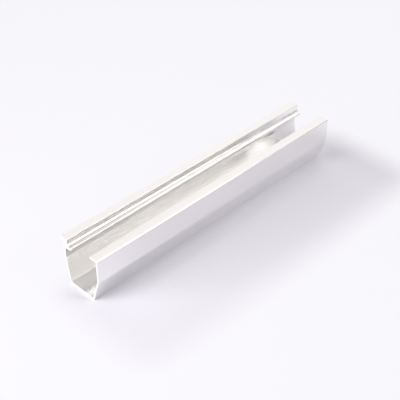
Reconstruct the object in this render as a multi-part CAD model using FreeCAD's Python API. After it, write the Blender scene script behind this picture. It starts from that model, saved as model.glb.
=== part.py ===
"""Asymmetric strut channel: one extruded aluminium length, sawn square at both ends.

Units are millimetres. X runs along the channel, Z is up, and the channel stands on its base.
The front wall is at -Y and carries a flange turned inward. The back wall is at +Y and carries
a thick head, with a ledge on its inner side and a flange turned outward.
The origin is at the middle of the length and of the overall width, on the underside.
"""
import FreeCAD
import Part
import math
import os
from typing import NamedTuple

# Length and wall
CHANNEL_LENGTH = 257.0
WALL = 1.6

# Base: thicker than the walls, with sharp lower edges
BASE_WIDTH = 26.6
BASE_THICKNESS = 2.2
BASE_EDGE_RADIUS = 0.6
BASE_FILLET_RADIUS = 0.3

# Front wall: leans outward up to its bend, then stands upright
FRONT_HEIGHT = 41.5
FRONT_SPREAD = 7.1
FRONT_BEND_HEIGHT = 21.0
FRONT_BEND_RADIUS = 2.0
FRONT_TOP_RADIUS = 0.6
FRONT_FLANGE_WIDTH = 8.3
FLANGE_TIP_RADIUS = 0.5

# Back wall: leans outward less than the front wall
BACK_HEIGHT = 42.0
BACK_SPREAD = 3.8
BACK_BEND_HEIGHT = 24.2
BACK_BEND_RADIUS = 2.0

# Head on top of the back wall: its inner face stands further in at the foot than at the top
HEAD_THICKNESS = 4.2
HEAD_PROUD = 0.25
HEAD_DRAFT = 0.5
SHOULDER_START = 0.3
SHOULDER_RISE = 0.9
OUTER_FLANGE_REACH = 3.4
HEAD_EDGE_RADIUS = 0.2

# Ledge on the inner side of the head: its top falls away towards its tip, with a small step
LEDGE_HEIGHT = 33.3
LEDGE_REACH = 6.1
LEDGE_THICKNESS = 2.1
LEDGE_FALL = 1.3
LEDGE_STEP = 0.2
LEDGE_STEP_PLACE = 1.4
LEDGE_FOOT_RADIUS = 0.2
LEDGE_EDGE_RADIUS = 0.35

# Smallest rounding in an inner corner, and the most of a straight run that one arc may use
INNER_CORNER_RADIUS = 0.5
ARC_SHARE = 0.45


class Corner(NamedTuple):
    """A corner of the section, in the plane across the channel.

    It has a rounding, the thickness of the wall that starts at it, and the least rounding of
    the inner corner beside it.
    """

    y: float
    z: float
    radius: float = 0.0
    wall: float = WALL
    inner_radius: float = INNER_CORNER_RADIUS


def unit_step(start, end):
    """Give the unit vector from one corner to the next, as y and z."""
    length = math.hypot(end.y - start.y, end.z - start.z)
    return (end.y - start.y) / length, (end.z - start.z) / length


def inner_corner(before, corner, after):
    """Give the corner of the wall's inner face that lies beside a corner of its outer face."""
    in_y, in_z = unit_step(before, corner)
    out_y, out_z = unit_step(corner, after)
    turn = in_y * out_z - in_z * out_y
    shift_y = (before.wall * out_y - corner.wall * in_y) / turn
    shift_z = (before.wall * out_z - corner.wall * in_z) / turn
    radius = max(corner.radius - corner.wall, corner.inner_radius)
    return Corner(corner.y + shift_y, corner.z + shift_z, radius)


def outer_corners(front_face, back_face, base_start):
    """List the outer face's corners, from the front flange's tip down and round to the back wall."""
    return [
        Corner(front_face + FRONT_FLANGE_WIDTH, FRONT_HEIGHT, FLANGE_TIP_RADIUS),
        Corner(front_face, FRONT_HEIGHT, FRONT_TOP_RADIUS),
        Corner(front_face, FRONT_BEND_HEIGHT, FRONT_BEND_RADIUS),
        Corner(base_start, 0.0, BASE_EDGE_RADIUS, BASE_THICKNESS, BASE_FILLET_RADIUS),
        Corner(base_start + BASE_WIDTH, 0.0, BASE_EDGE_RADIUS, WALL, BASE_FILLET_RADIUS),
        Corner(back_face, BACK_BEND_HEIGHT, BACK_BEND_RADIUS),
        Corner(back_face, LEDGE_HEIGHT + SHOULDER_START, INNER_CORNER_RADIUS),
    ]


def head_corners(back_face):
    """List the head's corners, from its outer shoulder over the top to the root of its ledge."""
    head_face = back_face + HEAD_PROUD
    head_inner = head_face - HEAD_THICKNESS
    flange_tip = head_face + OUTER_FLANGE_REACH
    flange_under = BACK_HEIGHT - WALL
    ledge_root = back_face - WALL
    ledge_tip = ledge_root - LEDGE_REACH
    ledge_top = LEDGE_HEIGHT + LEDGE_THICKNESS
    head_foot = head_inner - HEAD_DRAFT
    foot_height = ledge_top + LEDGE_FALL
    slope = (LEDGE_FALL - LEDGE_STEP) / (head_foot - ledge_tip)
    step_height = foot_height - slope * LEDGE_STEP_PLACE
    step_place = head_foot - LEDGE_STEP_PLACE
    return [
        Corner(head_face, LEDGE_HEIGHT + SHOULDER_START + SHOULDER_RISE, INNER_CORNER_RADIUS),
        Corner(head_face, flange_under, INNER_CORNER_RADIUS),
        Corner(flange_tip, flange_under, HEAD_EDGE_RADIUS),
        Corner(flange_tip, BACK_HEIGHT, HEAD_EDGE_RADIUS),
        Corner(head_inner, BACK_HEIGHT, HEAD_EDGE_RADIUS),
        Corner(head_foot, foot_height, LEDGE_FOOT_RADIUS),
        Corner(step_place, step_height),
        Corner(step_place, step_height - LEDGE_STEP),
        Corner(ledge_tip, ledge_top, LEDGE_EDGE_RADIUS),
        Corner(ledge_tip, LEDGE_HEIGHT, LEDGE_EDGE_RADIUS),
        Corner(ledge_root, LEDGE_HEIGHT, INNER_CORNER_RADIUS),
    ]


def section_corners():
    """List every corner of the closed section, in order round it."""
    overall_width = FRONT_SPREAD + BASE_WIDTH + BACK_SPREAD + HEAD_PROUD + OUTER_FLANGE_REACH
    front_face = -overall_width / 2.0
    base_start = front_face + FRONT_SPREAD
    back_face = base_start + BASE_WIDTH + BACK_SPREAD
    outer = outer_corners(front_face, back_face, base_start)
    inner = [inner_corner(*three) for three in zip(outer, outer[1:], outer[2:])]
    flange_underside = Corner(outer[0].y, FRONT_HEIGHT - WALL, FLANGE_TIP_RADIUS)
    return outer + head_corners(back_face) + inner[::-1] + [flange_underside]


def corner_path(before, corner, after):
    """Give the points where a corner's rounding starts and ends, and its arc if it has one."""
    in_y, in_z = unit_step(before, corner)
    out_y, out_z = unit_step(corner, after)
    half_turn = abs(math.atan2(in_y * out_z - in_z * out_y, in_y * out_y + in_z * out_z)) / 2.0
    run_in = math.hypot(corner.y - before.y, corner.z - before.z)
    run_out = math.hypot(after.y - corner.y, after.z - corner.z)
    tangent = min(corner.radius * math.tan(half_turn), ARC_SHARE * run_in, ARC_SHARE * run_out)
    point = FreeCAD.Vector(0.0, corner.y, corner.z)
    if tangent <= 0.0:
        return point, point, None
    way_in = FreeCAD.Vector(0.0, in_y, in_z)
    way_out = FreeCAD.Vector(0.0, out_y, out_z)
    start = point - way_in * tangent
    end = point + way_out * tangent
    cut_back = tangent * (1.0 / math.cos(half_turn) - 1.0) / math.tan(half_turn)
    middle = point + (way_out - way_in).normalize() * cut_back
    return start, end, Part.Arc(start, middle, end).toShape()


def rounded_wire(corners):
    """Join the corners with straight runs and tangent arcs into one closed wire."""
    following = corners[1:] + corners[:1]
    paths = [corner_path(*three) for three in zip(corners[-1:] + corners[:-1], corners, following)]
    edges = []
    for (start, end, arc), (next_start, _, _) in zip(paths, paths[1:] + paths[:1]):
        if arc:
            edges.append(arc)
        edges.append(Part.LineSegment(end, next_start).toShape())
    return Part.Wire(edges)


def make_channel():
    """Extrude the section along the channel's length."""
    section = Part.Face(rounded_wire(section_corners()))
    section.translate(FreeCAD.Vector(-CHANNEL_LENGTH / 2.0, 0.0, 0.0))
    return section.extrude(FreeCAD.Vector(CHANNEL_LENGTH, 0.0, 0.0))


os.makedirs("parts", exist_ok=True)
channel = make_channel()
channel.exportStep("parts/channel.step")
box = channel.BoundBox
print(f"channel: valid {channel.isValid()}, volume {channel.Volume:.0f} mm3")
print(f"size {box.XLength:.2f} x {box.YLength:.2f} x {box.ZLength:.2f} mm")
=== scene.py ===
"""Dresses the strut channel: satin extruded aluminium with saw-cut ends, on a plain pale floor."""
import logging
import math
from dataclasses import dataclass, field
from enum import Enum

import bpy
from mathutils import Matrix, Vector


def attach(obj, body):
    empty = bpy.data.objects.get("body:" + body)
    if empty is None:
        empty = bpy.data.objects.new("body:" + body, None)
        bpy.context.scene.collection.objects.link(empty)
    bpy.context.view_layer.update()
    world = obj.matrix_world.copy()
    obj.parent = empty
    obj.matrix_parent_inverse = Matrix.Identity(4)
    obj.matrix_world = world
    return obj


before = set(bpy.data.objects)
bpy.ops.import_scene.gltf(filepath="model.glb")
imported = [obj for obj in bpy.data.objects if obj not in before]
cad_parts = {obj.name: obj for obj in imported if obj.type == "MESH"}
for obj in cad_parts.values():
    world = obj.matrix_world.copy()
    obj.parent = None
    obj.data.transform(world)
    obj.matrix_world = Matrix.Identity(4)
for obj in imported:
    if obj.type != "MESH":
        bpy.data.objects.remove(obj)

SENSOR_WIDTH_MM = 36.0

log = logging.getLogger("strut_channel")


def direction_to(azimuth: float, elevation: float) -> Vector:
    """Give a direction, with azimuth 0 in front of the channel, at its -Y side.

    Args:
        azimuth: Degrees anticlockwise, seen from above.
        elevation: Degrees above the floor.

    Returns:
        A vector of length 1.
    """
    turn, rise = math.radians(azimuth), math.radians(elevation)
    level = math.cos(rise)
    return Vector((math.sin(turn) * level, -math.cos(turn) * level, math.sin(rise)))


@dataclass(frozen=True)
class Softbox:
    """A square soft light: its direction in degrees, power in watts, and sizes in metres."""

    azimuth: float
    elevation: float
    power: float
    distance: float = 1.5
    size: float = 0.6
    aim: tuple[float, float, float] = (0.0, 0.0, 0.0)
    colour: tuple[float, float, float] = (1.0, 1.0, 1.0)

    def direction(self) -> Vector:
        """Give the direction from the point that the softbox looks at to the softbox."""
        return direction_to(self.azimuth, self.elevation)


@dataclass(frozen=True)
class CloseSoftbox(Softbox):
    """A smaller softbox that stands close to the channel's near end."""

    distance: float = 0.6
    size: float = 0.35
    aim: tuple[float, float, float] = (-0.13, 0.0, 0.02)


@dataclass(frozen=True)
class BackPanel(Softbox):
    """A large, slightly warm panel behind the channel or beyond its far end."""

    size: float = 1.6
    colour: tuple[float, float, float] = (1.0, 0.97, 0.96)


class Lamp(Enum):
    """The studio's softboxes. The level faces mirror the back one, the ledge the far high one."""

    NEAR_END = CloseSoftbox(azimuth=-110.0, elevation=20.0, power=3.3)
    NEAR_END_TOP = CloseSoftbox(azimuth=-90.0, elevation=70.0, power=1.5)
    FRONT = Softbox(azimuth=30.0, elevation=32.0, power=7.5)
    FRONT_HIGH = Softbox(azimuth=30.0, elevation=55.0, power=0.8)
    BACK = BackPanel(azimuth=135.0, elevation=35.0, power=8.0)
    BACK_LOW = BackPanel(azimuth=150.0, elevation=12.0, power=1.0, size=1.0)
    FAR_HIGH = BackPanel(azimuth=90.0, elevation=60.0, power=3.0, size=1.2)


class NodeSheet:
    """A material's node tree, with short calls to add and join nodes."""

    def __init__(self, name: str) -> None:
        """Start an empty node material.

        Args:
            name: The material's name.
        """
        self.material = bpy.data.materials.new(name)
        self.material.use_nodes = True
        self.tree = self.material.node_tree
        self.tree.nodes.clear()
        self.output = self.add("ShaderNodeOutputMaterial")

    def add(self, kind: str, **settings: object) -> bpy.types.Node:
        """Add a node.

        Args:
            kind: The node's type.
            settings: Values for the node's own properties.

        Returns:
            The new node.
        """
        node = self.tree.nodes.new(kind)
        for key, value in settings.items():
            setattr(node, key, value)
        return node

    def join(self, source: bpy.types.NodeSocket, target: bpy.types.NodeSocket) -> None:
        """Link one socket to another."""
        self.tree.links.new(source, target)

    def math(self, operation: str, first: object, second: object) -> bpy.types.NodeSocket:
        """Add a math node.

        Args:
            operation: The node's operation.
            first: A socket or a number.
            second: A socket or a number.

        Returns:
            The result's socket.
        """
        node = self.add("ShaderNodeMath", operation=operation)
        for value, socket in zip((first, second), node.inputs):
            self.put(value, socket)
        return node.outputs[0]

    def vector(self, operation: str, first: object, second: object = None) -> bpy.types.NodeSocket:
        """Add a vector math node.

        Args:
            operation: The node's operation.
            first: A socket or three numbers.
            second: A socket or three numbers, where the operation takes two.

        Returns:
            The result's socket, a plain number for a length or a dot product.
        """
        node = self.add("ShaderNodeVectorMath", operation=operation)
        self.put(first, node.inputs[0])
        if second is not None:
            self.put(second, node.inputs[1])
        return node.outputs["Value" if operation in {"LENGTH", "DOT_PRODUCT"} else "Vector"]

    def put(self, value: object, socket: bpy.types.NodeSocket) -> None:
        """Link a socket, or set a plain number or colour on it."""
        if isinstance(value, bpy.types.NodeSocket):
            self.join(value, socket)
        else:
            socket.default_value = value

    def position(self, scale: tuple[float, float, float]) -> bpy.types.NodeSocket:
        """Give the object's own coordinates, scaled.

        Args:
            scale: A factor for each axis.

        Returns:
            The scaled coordinates' socket.
        """
        place = self.add("ShaderNodeTexCoord")
        mapping = self.add("ShaderNodeMapping")
        mapping.inputs["Scale"].default_value = scale
        self.join(place.outputs["Object"], mapping.inputs["Vector"])
        return mapping.outputs["Vector"]

    def noise(self, scale: tuple[float, float, float], detail: float = 2.0) -> bpy.types.NodeSocket:
        """Add a noise texture over the object's own coordinates.

        Args:
            scale: Cells for each metre along each axis.
            detail: The noise's octaves.

        Returns:
            The noise's value, from 0 to 1.
        """
        texture = self.add("ShaderNodeTexNoise")
        texture.inputs["Scale"].default_value = 1.0
        texture.inputs["Detail"].default_value = detail
        self.join(self.position(scale), texture.inputs["Vector"])
        return texture.outputs["Fac"]

    def fade(self, value: bpy.types.NodeSocket, start: float, end: float) -> bpy.types.Node:
        """Add a smooth fade, from 0 to 1 until its outputs are set otherwise.

        Args:
            value: The value that the fade follows.
            start: The value at which it starts.
            end: The value at which it ends.

        Returns:
            The fade's node.
        """
        node = self.add("ShaderNodeMapRange", interpolation_type="SMOOTHSTEP")
        self.join(value, node.inputs["Value"])
        node.inputs["From Min"].default_value = start
        node.inputs["From Max"].default_value = end
        return node

    def seen_directly(self) -> bpy.types.NodeSocket:
        """Give 1 for the rays that show a backdrop, and 0 for those that would light with it."""
        rays = self.add("ShaderNodeLightPath").outputs
        seen = self.math("MAXIMUM", rays["Is Camera Ray"], rays["Is Glossy Ray"])
        return self.math("MAXIMUM", seen, rays["Is Transmission Ray"])

    def spread(self, value: bpy.types.NodeSocket, low: float, high: float) -> bpy.types.NodeSocket:
        """Map a value from 0 to 1 onto a range.

        Args:
            value: The value's socket.
            low: The result at 0.
            high: The result at 1.

        Returns:
            The mapped value's socket.
        """
        node = self.add("ShaderNodeMapRange")
        self.join(value, node.inputs["Value"])
        node.inputs["To Min"].default_value = low
        node.inputs["To Max"].default_value = high
        return node.outputs["Result"]


class WorldSheet(NodeSheet):
    """A world's node tree, with the same short calls."""

    def __init__(self, name: str) -> None:
        """Start an empty world.

        Args:
            name: The world's name.
        """
        self.world = bpy.data.worlds.new(name)
        self.world.use_nodes = True
        self.tree = self.world.node_tree
        self.tree.nodes.clear()
        self.output = self.add("ShaderNodeOutputWorld")


@dataclass(frozen=True)
class SatinAluminium:
    """The extruded surface: satin metal with fine die lines along the length."""

    name: str = "satin_extrusion"
    colour_low: tuple[float, float, float, float] = (0.905, 0.898, 0.889, 1.0)
    colour_high: tuple[float, float, float, float] = (0.945, 0.938, 0.930, 1.0)
    metallic: float = 1.0
    roughness_low: float = 0.20
    roughness_high: float = 0.25
    line_cells: float = 2600.0
    line_stretch: float = 3.0
    line_share: float = 0.6
    line_detail: float = 3.0
    cloud_cells: tuple[float, float, float] = (18.0, 60.0, 60.0)
    bump_strength: float = 0.12
    bump_depth: float = 0.00002

    def build(self) -> bpy.types.Material:
        """Make the material.

        Returns:
            The node material.
        """
        sheet = NodeSheet(self.name)
        shader = sheet.add("ShaderNodeBsdfPrincipled")
        sheet.join(shader.outputs["BSDF"], sheet.output.inputs["Surface"])
        shader.inputs["Metallic"].default_value = self.metallic
        line_scale = (self.line_stretch, self.line_cells, self.line_cells)
        lines = sheet.noise(line_scale, self.line_detail)
        clouds = sheet.noise(self.cloud_cells)
        line_part = sheet.math("MULTIPLY", lines, self.line_share)
        cloud_part = sheet.math("MULTIPLY", clouds, 1.0 - self.line_share)
        mixed = sheet.math("ADD", line_part, cloud_part)
        blend = sheet.add("ShaderNodeMix", data_type="RGBA")
        sheet.join(mixed, blend.inputs["Factor"])
        blend.inputs["A"].default_value = self.colour_low
        blend.inputs["B"].default_value = self.colour_high
        sheet.join(blend.outputs["Result"], shader.inputs["Base Color"])
        sheet.join(
            sheet.spread(mixed, self.roughness_low, self.roughness_high), shader.inputs["Roughness"]
        )
        bump = sheet.add("ShaderNodeBump")
        bump.inputs["Strength"].default_value = self.bump_strength
        bump.inputs["Distance"].default_value = self.bump_depth
        sheet.join(lines, bump.inputs["Height"])
        sheet.join(bump.outputs["Normal"], shader.inputs["Normal"])
        return sheet.material


@dataclass(frozen=True)
class SawnAluminium:
    """The cut ends: bright metal with fine marks from the saw."""

    name: str = "sawn_end"
    colour: tuple[float, float, float, float] = (0.96, 0.96, 0.965, 1.0)
    metallic: float = 1.0
    roughness_low: float = 0.42
    roughness_high: float = 0.6
    mark_cells: tuple[float, float, float] = (40.0, 90.0, 2400.0)
    bump_strength: float = 0.3
    bump_depth: float = 0.00003

    def build(self) -> bpy.types.Material:
        """Make the material.

        Returns:
            The node material.
        """
        sheet = NodeSheet(self.name)
        shader = sheet.add("ShaderNodeBsdfPrincipled")
        sheet.join(shader.outputs["BSDF"], sheet.output.inputs["Surface"])
        shader.inputs["Metallic"].default_value = self.metallic
        shader.inputs["Base Color"].default_value = self.colour
        marks = sheet.noise(self.mark_cells)
        sheet.join(
            sheet.spread(marks, self.roughness_low, self.roughness_high), shader.inputs["Roughness"]
        )
        bump = sheet.add("ShaderNodeBump")
        bump.inputs["Strength"].default_value = self.bump_strength
        bump.inputs["Distance"].default_value = self.bump_depth
        sheet.join(marks, bump.inputs["Height"])
        sheet.join(bump.outputs["Normal"], shader.inputs["Normal"])
        return sheet.material


@dataclass
class Finishes:
    """The two finishes that the aluminium has: extruded on its run, sawn on its ends."""

    end_facing: float = 0.99
    walls: bpy.types.Material = field(default_factory=lambda: SatinAluminium().build())
    ends: bpy.types.Material = field(default_factory=lambda: SawnAluminium().build())

    def put_on(self, mesh: bpy.types.Mesh) -> None:
        """Give each face of a mesh the finish that its direction calls for.

        Args:
            mesh: The mesh to dress.
        """
        mesh.materials.clear()
        mesh.materials.append(self.walls)
        mesh.materials.append(self.ends)
        for face in mesh.polygons:
            face.material_index = int(abs(face.normal.x) > self.end_facing)


@dataclass
class Channel:
    """The extruded channel, shown by its own solid with a finish on every face."""

    finishes: Finishes
    node: str = "channel"

    def dress(self) -> bpy.types.Object:
        """Give the walls and the cut ends their finishes.

        Returns:
            The channel's object.
        """
        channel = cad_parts[self.node]
        self.finishes.put_on(channel.data)
        return channel


@dataclass
class LedgeBead:
    """The low bead in the corner between the head and its ledge, which ends in a small step.

    Its profile is in y and z. The last two points lie hidden inside the channel's own metal.
    """

    finishes: Finishes
    name: str = "ledge_bead"
    length: float = 0.25696
    root: tuple[float, float] = (0.0129, 0.03680)
    flat_end: tuple[float, float] = (0.01165, 0.03672)
    brow: tuple[float, float] = (0.01105, 0.03650)
    hidden: tuple[tuple[float, float], ...] = ((0.01103, 0.03590), (0.0129, 0.03630))

    def build(self) -> bpy.types.Object:
        """Extrude the bead along the channel and fix it to it.

        Returns:
            The bead's object.
        """
        profile = [self.root, self.flat_end, self.brow, *self.hidden]
        count = len(profile)
        points = [(x, y, z) for x in (-self.length / 2.0, self.length / 2.0) for y, z in profile]
        sides = [
            (start, (start + 1) % count, count + (start + 1) % count, count + start)
            for start in range(count)
        ]
        caps = [tuple(reversed(range(count))), tuple(range(count, 2 * count))]
        mesh = bpy.data.meshes.new(self.name)
        mesh.from_pydata(points, [], sides + caps)
        bead = bpy.data.objects.new(self.name, mesh)
        bpy.context.scene.collection.objects.link(bead)
        self.finishes.put_on(mesh)
        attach(bead, "root")
        return bead


@dataclass
class Studio:
    """The pale floor, the pale room on the camera's side, the soft lights and the camera."""

    floor_size: float = 6.0
    floor_colour: tuple[float, float, float, float] = (0.895, 0.868, 0.938, 1.0)
    floor_roughness: float = 0.9
    floor_specular: float = 0.1
    backdrop_colour: tuple[float, float, float, float] = (0.97, 0.96, 1.0, 1.0)
    # Painted shade: inside a box on the floor in front of the channel, only this small share of the
    # white backdrop is added. The floor there is darker than the rest, and the metal reflects that
    # darker floor; the lamps' real shadow also falls there.
    backdrop_in_painted_shade: float = 0.06
    backdrop_high: float = 0.88
    # The box of painted shade on the floor in front of the channel, and the width of its fade into
    # the white backdrop.
    painted_shade_centre: tuple[float, float, float] = (0.008, -0.04, 0.0)
    painted_shade_half: tuple[float, float, float] = (0.135, 0.03, 1.0)
    painted_shade_fade: float = 0.04
    room_side: tuple[float, float, float] = (-0.707, -0.707, -0.8)
    room_from: float = -0.6
    room_to: float = 0.2
    room_strength: float = 0.42
    camera_lens_mm: float = 88.66
    camera_azimuth: float = -45.17
    camera_elevation: float = 37.50
    camera_roll: float = -0.185
    camera_distance: float = 0.8163
    camera_target: tuple[float, float, float] = (0.01147, 0.0163, 0.0)
    camera_nearest: float = 0.01
    camera_farthest: float = 50.0

    def lay_floor(self) -> bpy.types.Object:
        """Make the floor.

        Returns:
            The floor's object.
        """
        half = self.floor_size / 2.0
        mesh = bpy.data.meshes.new("floor")
        corners = [(-half, -half, 0.0), (half, -half, 0.0), (half, half, 0.0), (-half, half, 0.0)]
        mesh.from_pydata(corners, [], [(0, 1, 2, 3)])
        floor = bpy.data.objects.new("floor", mesh)
        bpy.context.scene.collection.objects.link(floor)
        mesh.materials.append(self.floor_finish())
        return floor

    def floor_finish(self) -> bpy.types.Material:
        """Make the floor's material. It fades into a white backdrop away from the channel, and
        leaves painted shade in a box in front of the channel, where the lamps' real shadow also
        falls.

        Returns:
            The node material.
        """
        sheet = NodeSheet("pale_floor_painted_shade")
        shader = sheet.add("ShaderNodeBsdfPrincipled")
        shader.inputs["Base Color"].default_value = self.floor_colour
        shader.inputs["Roughness"].default_value = self.floor_roughness
        shader.inputs["Specular IOR Level"].default_value = self.floor_specular
        white = sheet.add("ShaderNodeEmission")
        white.inputs["Color"].default_value = self.backdrop_colour
        # Painted shade: the backdrop's white fades out near the channel's front. The floor and its
        # reflection in the metal are darker there, over the lamps' real shadow.
        fade = sheet.fade(self.way_out_of_painted_shade(sheet), 0.0, self.painted_shade_fade)
        fade.inputs["To Min"].default_value = self.backdrop_in_painted_shade
        fade.inputs["To Max"].default_value = self.backdrop_high
        mix = sheet.add("ShaderNodeMixShader")
        share = sheet.math("MULTIPLY", fade.outputs["Result"], sheet.seen_directly())
        sheet.join(share, mix.inputs["Fac"])
        sheet.join(shader.outputs["BSDF"], mix.inputs[1])
        sheet.join(white.outputs["Emission"], mix.inputs[2])
        sheet.join(mix.outputs["Shader"], sheet.output.inputs["Surface"])
        return sheet.material

    def way_out_of_painted_shade(self, sheet: NodeSheet) -> bpy.types.NodeSocket:
        """Measure how far a point of the floor lies outside the box of painted shade in front of
        the channel.

        Args:
            sheet: The floor's node sheet.

        Returns:
            The distance in metres, 0 inside the painted shade.
        """
        away = sheet.vector("SUBTRACT", sheet.position((1.0, 1.0, 1.0)), self.painted_shade_centre)
        beyond = sheet.vector("SUBTRACT", sheet.vector("ABSOLUTE", away), self.painted_shade_half)
        return sheet.vector("LENGTH", sheet.vector("MAXIMUM", beyond, (0.0, 0.0, 0.0)))

    def light_world(self) -> None:
        """Show the metal a pale room on the camera's side.

        The room lights nothing: only camera, glossy and transmission rays see it.
        """
        sheet = WorldSheet("studio")
        back = sheet.add("ShaderNodeBackground")
        back.inputs["Color"].default_value = self.backdrop_colour
        view = sheet.add("ShaderNodeTexCoord").outputs["Generated"]
        along = sheet.vector("DOT_PRODUCT", view, self.room_side)
        fade = sheet.fade(along, self.room_from, self.room_to)
        fade.inputs["To Max"].default_value = self.room_strength
        strength = sheet.math("MULTIPLY", fade.outputs["Result"], sheet.seen_directly())
        sheet.join(strength, back.inputs["Strength"])
        sheet.join(back.outputs["Background"], sheet.output.inputs["Surface"])
        bpy.context.scene.world = sheet.world

    def hang_softbox(self, choice: Lamp) -> bpy.types.Object:
        """Hang one square soft light that looks at the channel.

        Args:
            choice: The softbox to hang.

        Returns:
            The light's object.
        """
        softbox, name = choice.value, choice.name.lower()
        lamp = bpy.data.lights.new(name, "AREA")
        lamp.shape = "SQUARE"
        lamp.size = softbox.size
        lamp.energy = softbox.power
        lamp.color = softbox.colour
        box = bpy.data.objects.new(name, lamp)
        bpy.context.scene.collection.objects.link(box)
        direction = softbox.direction()
        box.location = Vector(softbox.aim) + direction * softbox.distance
        box.rotation_mode = "QUATERNION"
        box.rotation_quaternion = direction.to_track_quat("Z", "Y")
        return box

    def place_camera(self) -> bpy.types.Object:
        """Set the camera at the photograph's viewing angle.

        Returns:
            The camera's object.
        """
        data = bpy.data.cameras.new("camera")
        data.sensor_width = SENSOR_WIDTH_MM
        data.lens = self.camera_lens_mm
        data.clip_start = self.camera_nearest
        data.clip_end = self.camera_farthest
        camera = bpy.data.objects.new("camera", data)
        bpy.context.scene.collection.objects.link(camera)
        turn = math.radians(self.camera_azimuth)
        back = direction_to(self.camera_azimuth, self.camera_elevation)
        right = Vector((math.cos(turn), math.sin(turn), 0.0))
        up = back.cross(right)
        roll = math.radians(self.camera_roll)
        rolled_right = right * math.cos(roll) + up * math.sin(roll)
        rolled_up = up * math.cos(roll) - right * math.sin(roll)
        turned = Matrix((rolled_right, rolled_up, back)).transposed().to_4x4()
        place = Vector(self.camera_target) + back * self.camera_distance
        camera.matrix_world = Matrix.Translation(place) @ turned
        bpy.context.scene.camera = camera
        return camera

    def build(self) -> None:
        """Set up the whole studio."""
        self.lay_floor()
        self.light_world()
        for choice in Lamp:
            self.hang_softbox(choice)
        self.place_camera()


def main() -> None:
    """Build the scene and note the size of what it shows."""
    logging.basicConfig(level=logging.INFO, format="%(name)s: %(message)s")
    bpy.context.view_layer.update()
    bpy.context.scene.view_settings.view_transform = "Standard"
    finishes = Finishes()
    for piece in (Channel(finishes).dress(), LedgeBead(finishes).build()):
        log.info("%s: %d faces", piece.name, len(piece.data.polygons))
    Studio().build()
    log.info("studio: floor, lights and camera")


if __name__ == "__main__":
    main()
